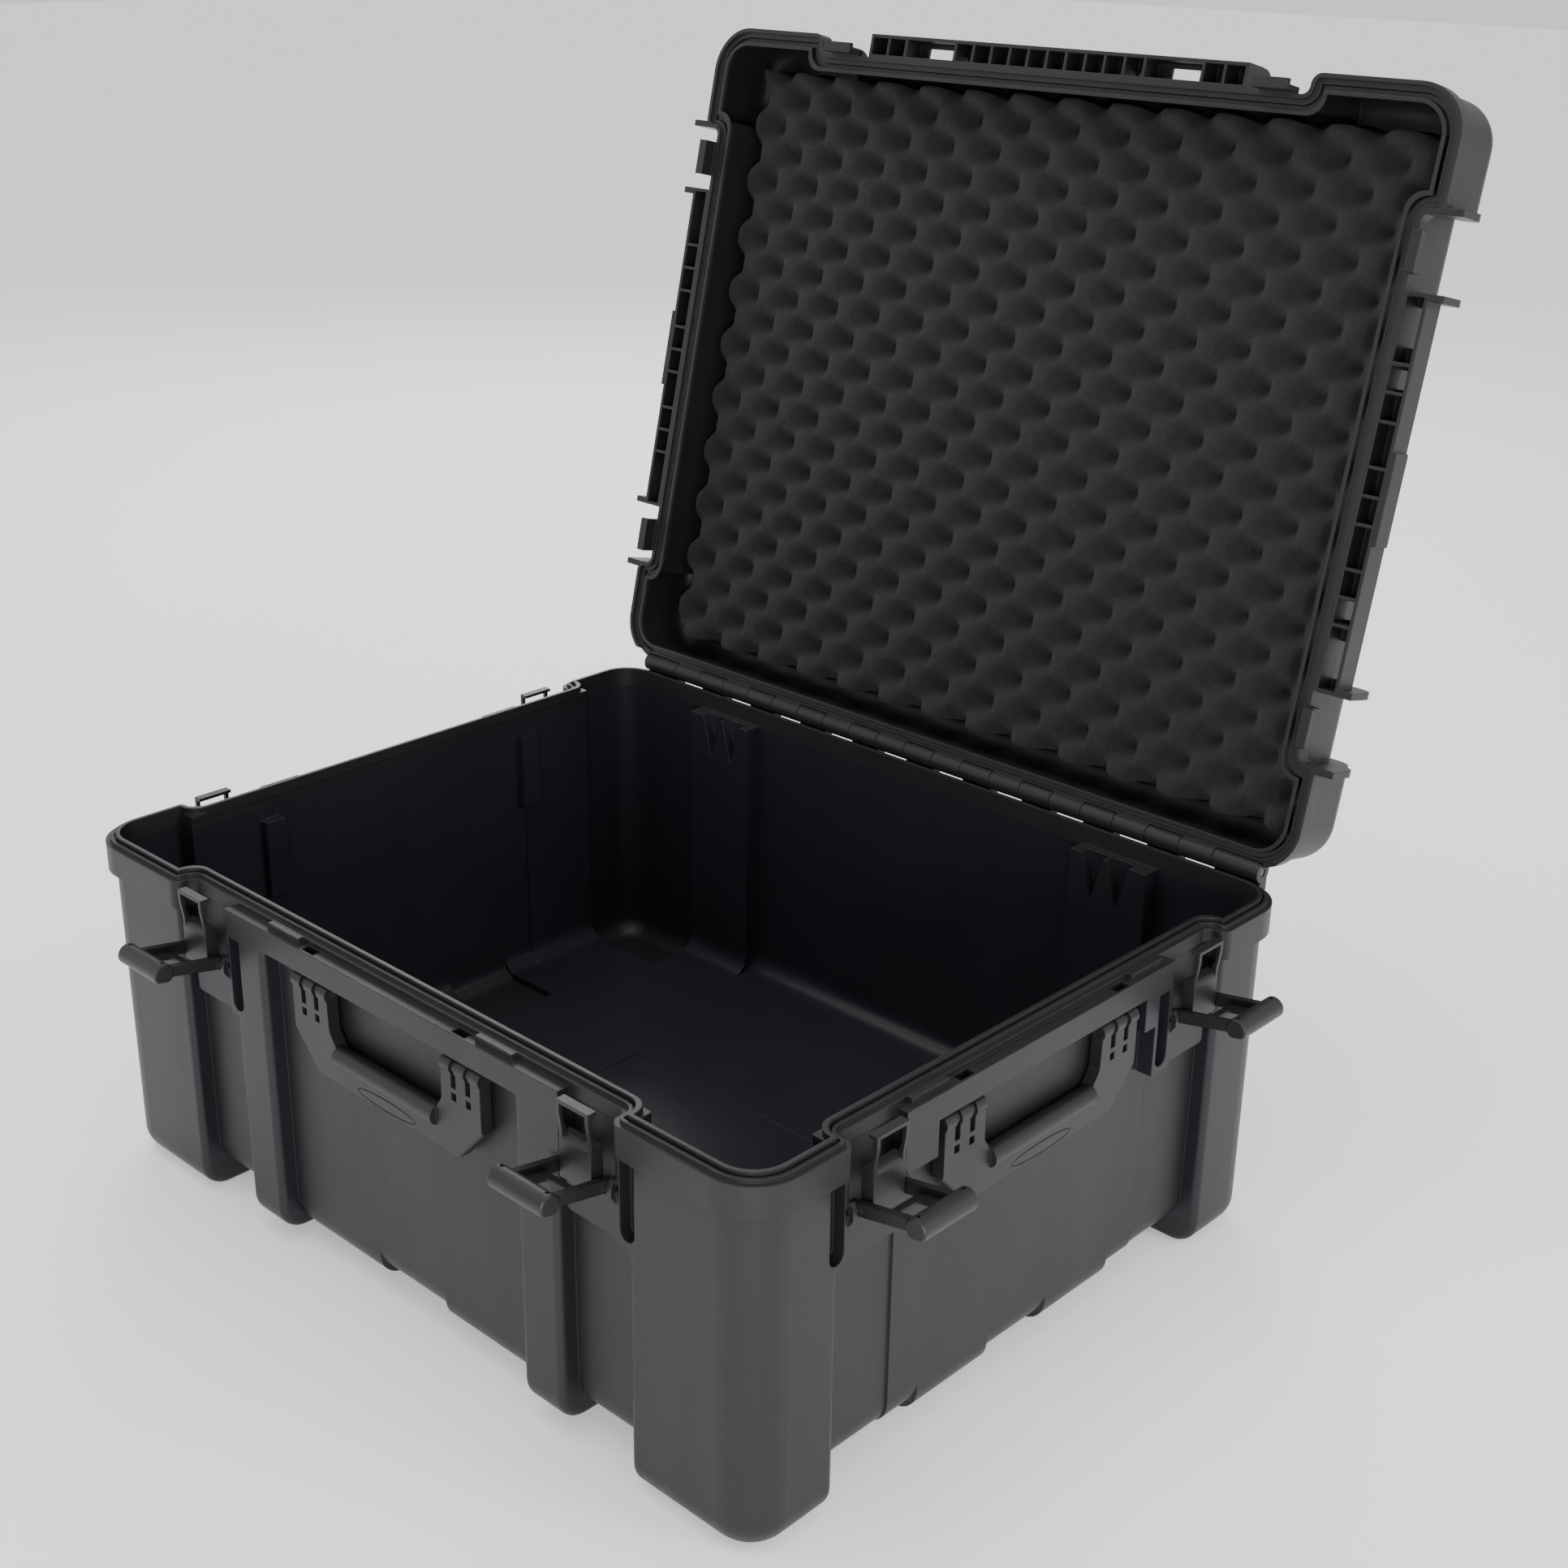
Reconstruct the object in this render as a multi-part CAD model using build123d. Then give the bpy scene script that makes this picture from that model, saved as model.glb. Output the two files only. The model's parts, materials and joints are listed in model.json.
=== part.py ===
from build123d import *
import os
from math import cos, radians, sin

# Hard equipment case: a deep base on corner feet, a hinged lid with a foam liner, six draw
# latches and three fold-down handles. Millimetres, +Z up, origin at the middle of the plane
# that the corner feet stand on, hinge at +Y. At rest the lid is open and the latches are up.

# ---- overall sizes ----
WIDTH = 688.0          # over the rim lobes, along X
DEPTH = 542.0          # over the rim lobes, along Y
BASE_HEIGHT = 261.0    # floor to the top of the base rim
LID_HEIGHT = 66.0      # rim plane to the top of the closed lid
LID_OPEN = 103.0       # degrees from closed to the open stop
WALL = 4.5

# ---- rim plan ----
CORNER_R = 35.0
NOTCH = 15.0           # how far the rim steps in between the corner lobes
LOBE_FRONT = 0.3285 * WIDTH    # where the front lobes end, from the middle of the front wall
LOBE_SIDE = 0.347 * DEPTH      # where the side lobes end, from the middle of a side wall
RIM_WIDTH = 10.5       # rim's outer edge to the inner wall
RIM_BAND = 10.0        # height of the thin rim between the lobes
LOBE_SKIRT = 21.7      # height of the rim skirt on the lobes
BACK_SKIRT = 46.0      # height of the band under the rim along the hinge
RIDGE_OUT = (3.6, 6.2, 2.6)    # outer bead: inset of its two sides, height
RIDGE_SEAL = (7.6, 10.5, 5.0)  # sealing ridge: inset of its two sides, height
RIM_GAP = 0.4          # closed lid to base rim

# ---- base walls ----
FLANGE_OUT = 6.0       # rim lobe to pillar face
PILLAR = 14.0          # pillar face to the recessed panels
CORNER_PAST = (8.0, 6.0)       # lobe end to corner pillar, on the front and on a side
NARROW_WIDE = 38.0     # width of the narrow front pillars
NARROW_SHORT = 4.0     # shelf end to a narrow pillar's outer side
BACK_PANEL = WIDTH / 2 - 170.0 # half width of the raised back panel
SIDE_PROUD = 1.5       # how proud the middle panel of a side wall stands
SIDE_SHORT = 6.0       # shelf end to the side of that panel
FOOT_R = 20.0          # rounding under the walls
PILLAR_EDGE = 5.0
NARROW_Z = 9.0         # underside of the narrow pillars
PANEL_Z = 18.0         # underside between the pillars
PAD_Z = 12.0           # underside of the low pads
PAD_WIDE = (92.0, 71.0)        # length of a low pad along the front and along a side
PAD_SHORT = (47.0, 35.0)       # shelf end to the pad's outer side, front and side
PAD_REACH = 70.0       # how far the pads run in from the wall
FLOOR_MARK = (262.0, 162.0)    # engraved rectangle on the inside of the floor

# ---- shelves over the handles ----
BAY = 51.0             # width of a latch bay, lobe to shelf
SEAT = (39.0, 26.0)    # seat plate: how far below the pivot it starts, height
SEAT_GAP = 0.8         # closed lever to the seat plate
SHELF_DROP = 4.0       # shelf top below the rim plane
SHELF_BAND = 18.0
LEG = (30.0, 47.0)     # shelf end leg: width, height below the rim plane
STEP_PAD = (35.0, 5.0, 4.0)    # raised pad on the shelf: length, depth, height
STEP_SHORT = 9.0       # end of the side shelf to the pad, also used on the front
LOCK_HOLE = (13.0, 6.8)        # lock hole: length, depth
LOCK_IN = 7.8          # lock hole's distance inside the lobe face
LOCK_GAP = 7.0         # lock hole to raised pad
SLOT = (12.6, 56.0)    # slot beside a latch: width, height
SLOT_DEEP = {"shelf": 22.0, "pillar": 9.0}
SLOT_Z = BASE_HEIGHT - 81.0
SLOT_OFF = 8.4         # bay edge to the middle of the slot
SLOT_WALL = 3.0
NOTCHES = (190.0, 213.0)       # triangular pockets in the hinge band: from the middle of the case
NOTCH_CUT = (20.0, 36.0, 9.0)  # their width at the top, height, depth

# ---- latches ----
PIVOT_Z = BASE_HEIGHT - 48.0
PIVOT_IN = 6.0         # pivot's distance inside the lobe face
LEVER_REACH = 50.0
LEVER_UP = 11.0        # degrees above level when open
LEVER_TRAVEL = 101.0
ARM = (15.6, 20.4)     # lever arm: from, to
GRIP = (24.0, 7.6)     # grip bar: half length, radius
RIB = (21.0, 25.0)     # bay rib on each side of the lever
LINK_LAG = 18.0        # link pin's angle below the lever's line, degrees
HOOK_HALF = 14.0
HOOK_BODY = (5.4, 26.0)        # hook body below the link pin and above it
HOOK_DEEP = (3.4, 5.8)         # hook body outward and inward of the link pin
HOOK_CHEEK = 2.6       # thickness of the two cheeks that carry the hook's lip
HOOK_PLATE = 3.2       # depth of a cheek, outward
HOOK_LIP = 2.4         # thickness of the lip
CATCH_HANG = 11.0      # how far the lid's catch hangs below the lid's rim
CATCH_THICK = 4.0
CATCH_LIP = (3.6, 3.6) # lip on the catch: reach, height
CATCH_CLEAR = 0.8      # catch to the base's rim
CATCH_GAP = 0.7        # closed hook to the catch
PIN_R = 2.2
PIN_FIT = 0.05
LINK = 2 * PIN_R + 1.6 # lever pivot to hook link pin
ARM_HIGH = 2 * PIN_R + 4.0     # height of a lever arm at its pins

# ---- handles ----
HANDLE_HALF = 99.0
HANDLE_TOP_Z = BASE_HEIGHT - 31.0      # handle pin height
HANDLE_IN = 12.0       # handle pin's distance inside the lobe face
HANDLE_DROP = 64.0     # pin to the bottom of the handle
PRONG = 9.4
PRONG_PITCH = 14.4
PRONG_R = 6.0
GRIP_R = 7.4
HANDLE_THICK = 9.0
GRIP_UP = 22.0         # middle of the grip above the bottom of the handle
GRIP_OUT = 2.0         # how far the grip's middle stands outside the pin's plane
OVAL = (31.0, 4.6, 0.8)        # engraved oval: half length, half height, line width and depth
LUG_GAP = 0.4
LUG_LESS = 1.6         # how much smaller a wall lug's round end is than a prong's
LUG_WEB = 5.0          # half height of a wall lug

# ---- hinge ----
KNUCKLE_R = 7.8
HINGE_Y = DEPTH / 2 + KNUCKLE_R - 4.8
HINGE_Z = BASE_HEIGHT + KNUCKLE_R + 1.2
KNUCKLE_COUNT = 21
KNUCKLE_END = 39.0     # length of each end knuckle
HINGE_HALF = WIDTH / 2 - 26.0
KNUCKLE_GAP = 0.7
HINGE_PIN_R = 3.0

# ---- lid ----
STRIP_OUT = 3.0        # strip's outer face beyond the lobes
STRIP_WALL = 2.6
STRIP_DEEP = 20.0
STRIP_RIB = 2.4
STRIP_PITCH_FRONT = 17.6
STRIP_PITCH_SIDE = 19.5
STRIP_THICK = 32.0     # half length of the thicker middle of a side strip
STEP_HOLE = 27.0       # length of the opening in a strip over the shelf's raised pad
ISLAND_IN = (129.0, 96.0)      # rim's outer edge to the raised panel on top: sides, front and back
GUARD = (5.0, 34.0)    # plate beside a latch bay: thickness, height
GUARD_REACH = {"front": 2.6, "side": 14.0}     # how far it stands out from the lobes
STRIP_ENDS = (19.0, 37.0)      # end of the front strip to its outer two ribs
FOAM_IN = (28.0, 28.5, 23.5)   # rim's outer edge to the foam: sides, front, back
FOAM_THICK = 33.0
GASKET = 3.0

PILLAR_X = WIDTH / 2 - FLANGE_OUT
PILLAR_Y = DEPTH / 2 - FLANGE_OUT
PANEL_X = PILLAR_X - PILLAR
PANEL_Y = PILLAR_Y - PILLAR
SHELF_FRONT = LOBE_FRONT - BAY
SHELF_SIDE = LOBE_SIDE - BAY
STEP_END = SHELF_SIDE - STEP_SHORT
LOCK_END = STEP_END - STEP_PAD[0] - LOCK_GAP
CORNER_FRONT = LOBE_FRONT + CORNER_PAST[0]
CORNER_SIDE = LOBE_SIDE + CORNER_PAST[1]
NARROW_END = SHELF_FRONT - NARROW_SHORT
LID_BASE = BASE_HEIGHT + RIM_GAP
LID_TOP = BASE_HEIGHT + LID_HEIGHT


def block(x0, x1, y0, y1, z0, z1):
    """A box between two corners, given in any order."""
    size = (abs(x1 - x0), abs(y1 - y0), abs(z1 - z0))
    middle = ((x0 + x1) / 2, (y0 + y1) / 2, (z0 + z1) / 2)
    return Pos(*middle) * Box(*size)


def rod(half, radius):
    """A cylinder along X, centred."""
    return Rot(0, 90, 0) * Cylinder(radius, 2 * half)


def fused(pieces):
    whole = pieces[0]
    for piece in pieces[1:]:
        whole = whole + piece
    return whole


def rim_outline(inset, sharp=False):
    """The rim's plan at a distance inside its outer edge, with its corner lobes. A sharp one
    keeps a small flat corner inside each bend of the rim."""
    x, y = WIDTH / 2 - inset, DEPTH / 2 - inset
    a, b = LOBE_FRONT + inset, LOBE_SIDE + inset
    outer = max(8.0 - inset, 1.0)
    inner = 1.5 if sharp else min(6.0 + inset, NOTCH - outer - 0.3)
    corner = CORNER_R - inset
    points = [(-x, -y), (-a, -y), (-a, NOTCH - y), (a, NOTCH - y), (a, -y), (x, -y),
              (x, -b), (x - NOTCH, -b), (x - NOTCH, b), (x, b), (x, y),
              (-x, y), (-x, b), (NOTCH - x, b), (NOTCH - x, -b), (-x, -b)]
    radii = [corner, outer, inner, inner, outer, corner,
             outer, inner, inner, outer, corner,
             corner, outer, inner, inner, outer]
    return make_face(FilletPolyline(*points, radius=radii, close=True))


def rim_prism(inset, z0, z1, sharp=False):
    return Pos(0, 0, z0) * extrude(rim_outline(inset, sharp), z1 - z0)


def rim_band(inner_inset, outer_inset, z0, z1):
    return rim_prism(outer_inset, z0, z1) - rim_prism(inner_inset, z0 - 1, z1 + 1)


def tub(half_x, half_y, radius, z0, z1, rounding):
    """A closed box with round corners and a rounded underside."""
    body = Pos(0, 0, z0) * extrude(RectangleRounded(2 * half_x, 2 * half_y, radius), z1 - z0)
    return fillet(body.faces().sort_by(Axis.Z)[0].edges(), rounding)


def corners_of(piece):
    """The piece and its mirror images in both middle planes."""
    pair = [piece, mirror(piece, Plane.YZ)]
    return pair + [mirror(each, Plane.XZ) for each in pair]


def profile(points, x0, x1):
    """A plate between two X values, from its (y, z) outline."""
    face = make_face(Polyline(*[(0, y, z) for y, z in points], close=True))
    plate = extrude(face, x1 - x0, dir=(1, 0, 0))
    return Pos(x0, 0, 0) * plate


def zones(inset):
    """The parts of the base that stand proud of the panels: zone, underside, half sizes."""
    reach = WIDTH
    corner = block(CORNER_FRONT + inset, reach, CORNER_SIDE + inset, reach, -1, BASE_HEIGHT)
    narrow = [block(s * (NARROW_END - NARROW_WIDE + inset), s * (NARROW_END - inset), -reach,
                    2 * FOOT_R - PANEL_Y, -1, BASE_HEIGHT) for s in (-1, 1)]
    back = block(inset - BACK_PANEL, BACK_PANEL - inset, 0, reach, -1, BASE_HEIGHT)
    half = SHELF_SIDE - SIDE_SHORT - inset
    side = block(-reach, reach, -half, half, -1, BASE_HEIGHT)
    pad_ends = (SHELF_FRONT - PAD_SHORT[0], SHELF_SIDE - PAD_SHORT[1])
    pad_top = 3 * FOOT_R
    pads = [block(s * (pad_ends[0] - PAD_WIDE[0] + inset), s * (pad_ends[0] - inset), -reach,
                  PAD_REACH - PANEL_Y - inset, -1, pad_top) for s in (-1, 1)]
    side_pad = block(PANEL_X - PAD_REACH + inset, reach, pad_ends[1] - PAD_WIDE[1] + inset,
                     pad_ends[1] - inset, -1, pad_top)
    pillar = (PILLAR_X - inset, PILLAR_Y - inset)
    panel = (PANEL_X - inset, PANEL_Y - inset)
    proud = (panel[0] + SIDE_PROUD, panel[1])
    result = [(each, 0.0, pillar) for each in corners_of(corner)]
    result += [(each, NARROW_Z, pillar) for each in narrow]
    result += [(back, PANEL_Z, (panel[0], pillar[1])), (side, PANEL_Z, proud)]
    result += [(each, PAD_Z, panel) for each in pads]
    result += [(each, PAD_Z, proud) for each in corners_of(side_pad)]
    return result


def pillar_edges(piece, half_x, half_y, radius):
    """The upright edges between a pillar's face and its sides."""
    chosen = []
    for edge in piece.edges().filter_by(Axis.Z):
        x, y = abs(edge.center().X), abs(edge.center().Y)
        on_front = y > half_y - 0.5 and x < half_x - radius - 1
        on_side = x > half_x - 0.5 and y < half_y - radius - 1
        if on_front or on_side:
            chosen.append(edge)
    return chosen


def base_skin(inset, rounded):
    """The base's outer surface as a closed solid, or its cavity when inset by the wall."""
    top = BASE_HEIGHT - 4
    radius = CORNER_R - FLANGE_OUT - inset
    shape = tub(PANEL_X - inset, PANEL_Y - inset, radius, PANEL_Z + inset, top, FOOT_R - inset)
    for zone, underside, (half_x, half_y) in zones(inset):
        skin = tub(half_x, half_y, radius, underside + inset, top, FOOT_R - inset)
        proud = skin & zone
        if rounded and half_y > PANEL_Y and underside < PANEL_Z:
            proud = fillet(pillar_edges(proud, half_x, half_y, radius), PILLAR_EDGE)
        shape = shape + proud
    return shape


def slots(side, kind):
    """A groove with a round foot, and the solid that backs it."""
    half = SLOT[0] / 2
    back = FLANGE_OUT + SLOT_DEEP[kind]
    top = SLOT_Z + SLOT[1]
    backing = block(side - half - SLOT_WALL, side + half + SLOT_WALL, FLANGE_OUT, back + SLOT_WALL,
                    SLOT_Z - WALL, top + SLOT_WALL)
    groove = block(side - half, side + half, FLANGE_OUT - 9, back, SLOT_Z + half, top)
    foot = Pos(side, (FLANGE_OUT - 9 + back) / 2, SLOT_Z + half) * Rot(90, 0, 0)
    groove = groove + foot * Cylinder(half, back - FLANGE_OUT + 9)
    return backing, groove


def latch_bay(middle, wall_back):
    """The seat plate and the two pivot ribs of one latch, and the pin bore."""
    low = PIVOT_Z - SEAT[0]
    face = PIVOT_IN + ARM_HIGH / 2 + SEAT_GAP
    out, crown, waist = PIVOT_IN - PIN_R - 2, PIVOT_Z + PIN_R + 3.5, low + SEAT[1]
    seat = block(middle - RIB[1], middle + RIB[1], face, wall_back, low, waist)
    seat = fillet(seat.edges().filter_by(Axis.Y).group_by(Axis.Z)[0], 3)
    outline = [(wall_back, low + 4), (face, low + 4), (face, waist - 6), (out, PIVOT_Z - 5), (out, crown - 3),
               (out + 3, crown), (wall_back, crown)]
    ribs = []
    for s in (-1, 1):
        ribs.append(profile(outline, *sorted((middle + s * RIB[0], middle + s * RIB[1]))))
    bore = Pos(middle, PIVOT_IN, PIVOT_Z) * rod(RIB[1] + 2, PIN_R + PIN_FIT)
    return [seat] + ribs, [bore]


def prong_spans():
    """The (from, to) of each prong on one leg of a handle, outermost first."""
    return [(HANDLE_HALF - PRONG - i * PRONG_PITCH, HANDLE_HALF - i * PRONG_PITCH) for i in range(3)]


def lug_spans():
    """The wall lugs fill the gaps between the prongs."""
    prongs = prong_spans()
    return [(prongs[i + 1][1] + LUG_GAP, prongs[i][0] - LUG_GAP) for i in range(2)]


def handle_window():
    """Half width of a handle's hand opening, between its innermost prongs."""
    return prong_spans()[-1][0]


def lock_hole(s, z0, z1):
    """A lock hole, the same through the base's shelf and the lid's strip."""
    return block(s * LOCK_END, s * (LOCK_END - LOCK_HOLE[0]), LOCK_IN, LOCK_IN + LOCK_HOLE[1], z0, z1)


def handle_seat(wall_back):
    """The lugs that carry a handle, and their pin bores."""
    lugs = []
    bores = []
    for s in (-1, 1):
        for low, high in lug_spans():
            at = Pos(s * (low + high) / 2, HANDLE_IN, HANDLE_TOP_Z)
            lug = at * rod((high - low) / 2, PRONG_R - LUG_LESS)
            web = block(s * low, s * high, HANDLE_IN, wall_back, HANDLE_TOP_Z - LUG_WEB,
                        HANDLE_TOP_Z + LUG_WEB)
            lugs.append(lug + web)
            bores.append(at * rod(PRONG, PIN_R + PIN_FIT))
    return lugs, bores


def wall_places():
    """Each latched wall: name, place of its lobe face, lobe end, and the side of each
    latch that its slot is on, for the latch on the left and the one on the right."""
    front = Pos(0, -DEPTH / 2, 0)
    right = Pos(WIDTH / 2, 0, 0) * Rot(0, 0, 90)
    left = Pos(-WIDTH / 2, 0, 0) * Rot(0, 0, -90)
    return [("front", front, LOBE_FRONT, (1, 1)), ("right", right, LOBE_SIDE, (-1, -1)),
            ("left", left, LOBE_SIDE, (1, -1))]


def dressed_wall(shell, place, lobe_end, slot_sides):
    """One latched wall of the base: shelf, legs, pads, latch bays, slots, handle seat."""
    shelf = lobe_end - BAY
    face = FLANGE_OUT
    wall_back = FLANGE_OUT + PILLAR + WALL / 2
    shelf_z = BASE_HEIGHT - SHELF_DROP
    lugs, bores = handle_seat(wall_back)
    adds = [block(-shelf, shelf, face, wall_back, shelf_z - SHELF_BAND, shelf_z)]
    cuts = []
    for s, slot_side in zip((-1, 1), slot_sides):
        adds.append(block(s * shelf, s * (shelf - LEG[0]), face, wall_back,
                          BASE_HEIGHT - LEG[1], shelf_z - 1))
        adds.append(block(s * STEP_END, s * (STEP_END - STEP_PAD[0]), NOTCH + 0.5 - STEP_PAD[1],
                          NOTCH + 0.5, shelf_z - 1, shelf_z + STEP_PAD[2]))
        cuts.append(lock_hole(s, shelf_z - SHELF_BAND - 1, shelf_z + 1))
        middle = s * (lobe_end - BAY / 2)
        bay_adds, bay_cuts = latch_bay(middle, wall_back)
        kind = "shelf" if s * slot_side < 0 else "pillar"
        slot_back, groove = slots(middle + slot_side * (BAY / 2 + SLOT_OFF), kind)
        adds += bay_adds + [slot_back]
        cuts += bay_cuts + [groove]
    shell = shell + [place * piece for piece in adds]
    shell = shell - [place * piece for piece in cuts]
    shell = shell + [place * piece for piece in lugs]
    return shell - [place * piece for piece in bores]


def knuckle_spans():
    """The (from, to) of each hinge knuckle, from -X to +X; the even ones are the base's."""
    inner = (2 * HINGE_HALF - 2 * KNUCKLE_END) / (KNUCKLE_COUNT - 2)
    edges = [-HINGE_HALF, KNUCKLE_END - HINGE_HALF]
    edges += [edges[1] + inner * (i + 1) for i in range(KNUCKLE_COUNT - 2)]
    edges.append(HINGE_HALF)
    return list(zip(edges[:-1], edges[1:]))


def knuckle(span, web):
    """One hinge knuckle with the web that joins it to its shell."""
    low, high = span[0] + KNUCKLE_GAP / 2, span[1] - KNUCKLE_GAP / 2
    barrel = Pos((low + high) / 2, HINGE_Y, HINGE_Z) * rod((high - low) / 2, KNUCKLE_R)
    points = [(HINGE_Y + y, HINGE_Z + z) for y, z in web]
    return barrel + profile(points, low, high)


def hinge_bore():
    return Pos(0, HINGE_Y, HINGE_Z) * rod(HINGE_HALF + 1, HINGE_PIN_R + PIN_FIT)


def base_shell():
    top = BASE_HEIGHT
    shell = base_skin(0, True) + rim_prism(0, top - RIM_BAND, top)
    skirt = rim_prism(0, top - LOBE_SKIRT, top - RIM_BAND + 1)
    lobe = block(LOBE_FRONT, WIDTH, LOBE_SIDE, DEPTH, top - LOBE_SKIRT, top)
    for zone in corners_of(lobe):
        shell = shell + (skirt & zone)
    band = rim_prism(0, top - BACK_SKIRT, top - RIM_BAND + 1)
    shell = shell + (band & block(-LOBE_FRONT, LOBE_FRONT, PANEL_Y - WALL, DEPTH, 0, top))
    shell = shell - base_skin(WALL, False) - rim_prism(RIM_WIDTH, top - RIM_BAND, top + 1, True)
    wide, tall, deep = NOTCH_CUT
    for middle in NOTCHES:
        corner = [(-wide / 2, 0, top - RIM_BAND + 1), (wide / 2, 0, top - RIM_BAND + 1),
                  (0, 0, top - RIM_BAND - tall)]
        pocket = extrude(make_face(Polyline(*corner, close=True)), deep + 1, dir=(0, 1, 0))
        for s in (-1, 1):
            shell = shell - Pos(s * middle, PANEL_Y - WALL - 1, 0) * pocket
    for outer, inner, height in (RIDGE_OUT, RIDGE_SEAL):
        shell = shell + rim_band(inner, outer, top - 1, top + height)
    for name, place, lobe_end, slot_sides in wall_places():
        shell = dressed_wall(shell, place, lobe_end, slot_sides)
    web = [(-6, -27), (-1, -27), (6, -14), (6, -3), (-2.5, -3), (-2.5, -9.2), (-6, -9.2)]
    for span in knuckle_spans()[::2]:
        shell = shell + knuckle(span, web)
    shell = shell - hinge_bore()
    mark = Box(FLOOR_MARK[0], FLOOR_MARK[1], 1.6) - Box(FLOOR_MARK[0] - 4, FLOOR_MARK[1] - 4, 3)
    mark = Pos(0, 0, PANEL_Z + WALL) * mark
    return shell - mark


LID_SWING = Pos(0, HINGE_Y, HINGE_Z) * Rot(-LID_OPEN, 0, 0) * Pos(0, -HINGE_Y, -HINGE_Z)


def lid_skin(inset):
    """The lid's outer surface above its rim, closed; or its cavity when inset."""
    side = 3.0 + inset
    z_top = LID_TOP - inset
    radius = CORNER_R - side
    rounding = 16.0 - inset
    bottom = LID_BASE + 1
    height = z_top - bottom

    def dome(half_x, half_y):
        body = Pos(0, 0, bottom) * extrude(RectangleRounded(2 * half_x, 2 * half_y, radius), height)
        return fillet(body.faces().sort_by(Axis.Z)[-1].edges(), rounding)

    shape = dome(WIDTH / 2 - NOTCH - side, DEPTH / 2 - NOTCH - side)
    outer = dome(WIDTH / 2 - side, DEPTH / 2 - side)
    for zone in corners_of(block(LOBE_FRONT + side, WIDTH, LOBE_SIDE + side, DEPTH, 0, LID_TOP + 9)):
        shape = shape + (outer & zone)
    back = block(-WIDTH, WIDTH, LOBE_SIDE + side, DEPTH, 0, LID_TOP + 9)
    return shape + (outer & back)


def strip(length, rib_places, thick_half):
    """A hollow ribbed strip along one lid wall: (solids, cuts, ribs)."""
    z0, z1 = LID_BASE, LID_BASE + STRIP_DEEP
    inner = NOTCH + 1.0
    solids = [block(-length, length, -STRIP_OUT, inner, z0, z1)]
    if thick_half:
        solids.append(block(-thick_half, thick_half, -STRIP_OUT - 3, 0, z0, z1 - 3))
    cuts = [block(STRIP_WALL - length, length - STRIP_WALL, STRIP_WALL - STRIP_OUT,
                  NOTCH - STRIP_WALL, z0 - 1, z1 - STRIP_WALL)]
    ribs = [block(at - STRIP_RIB / 2, at + STRIP_RIB / 2, 0 - STRIP_OUT + 1, NOTCH, z0, z1 - 1)
            for at in rib_places]
    holes = [lock_hole(s, z1 - STRIP_WALL - 1, z1 + 1) for s in (-1, 1)]
    holes += [block(s * STEP_END, s * (STEP_END - STEP_HOLE), STRIP_WALL, NOTCH - STRIP_WALL,
                    z1 - STRIP_WALL - 1, z1 + 1) for s in (-1, 1)]
    return solids, cuts, ribs, holes


def guard(low, high, reach, inner):
    """A plate beside a latch bay, with a round outer top."""
    plate = block(low, high, -reach, inner, LID_BASE, LID_BASE + GUARD[1])
    return fillet(plate.edges().filter_by(Axis.X).group_by(Axis.Y)[0].sort_by(Axis.Z)[-1:], 12)


def catch(middle):
    """The lid's catch in one latch bay: an arm that hangs in front of the base's rim, with a lip."""
    inner = NOTCH - CATCH_CLEAR
    outer = inner - CATCH_THICK
    low = LID_BASE - CATCH_HANG
    spans = (middle - HOOK_HALF, middle + HOOK_HALF)
    arm = block(*spans, outer, inner, low, LID_BASE + 1)
    root = block(*spans, outer, NOTCH + 1, LID_BASE, LID_BASE + 6)
    lip = block(*spans, outer - CATCH_LIP[0], outer + 1, low, low + CATCH_LIP[1])
    return arm + root + lip


def rib_places(lobe_end):
    """Where the ribs of a lid strip stand, along its wall."""
    if lobe_end == LOBE_FRONT:
        middle = [i * STRIP_PITCH_FRONT for i in range(-5, 6)]
        return middle + [s * (SHELF_FRONT - at) for s in (-1, 1) for at in STRIP_ENDS]
    group = 0.511 * SHELF_SIDE
    return [c + i * STRIP_PITCH_SIDE for c in (-group, 0.0, group) for i in (-1, 0, 1)]


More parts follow.
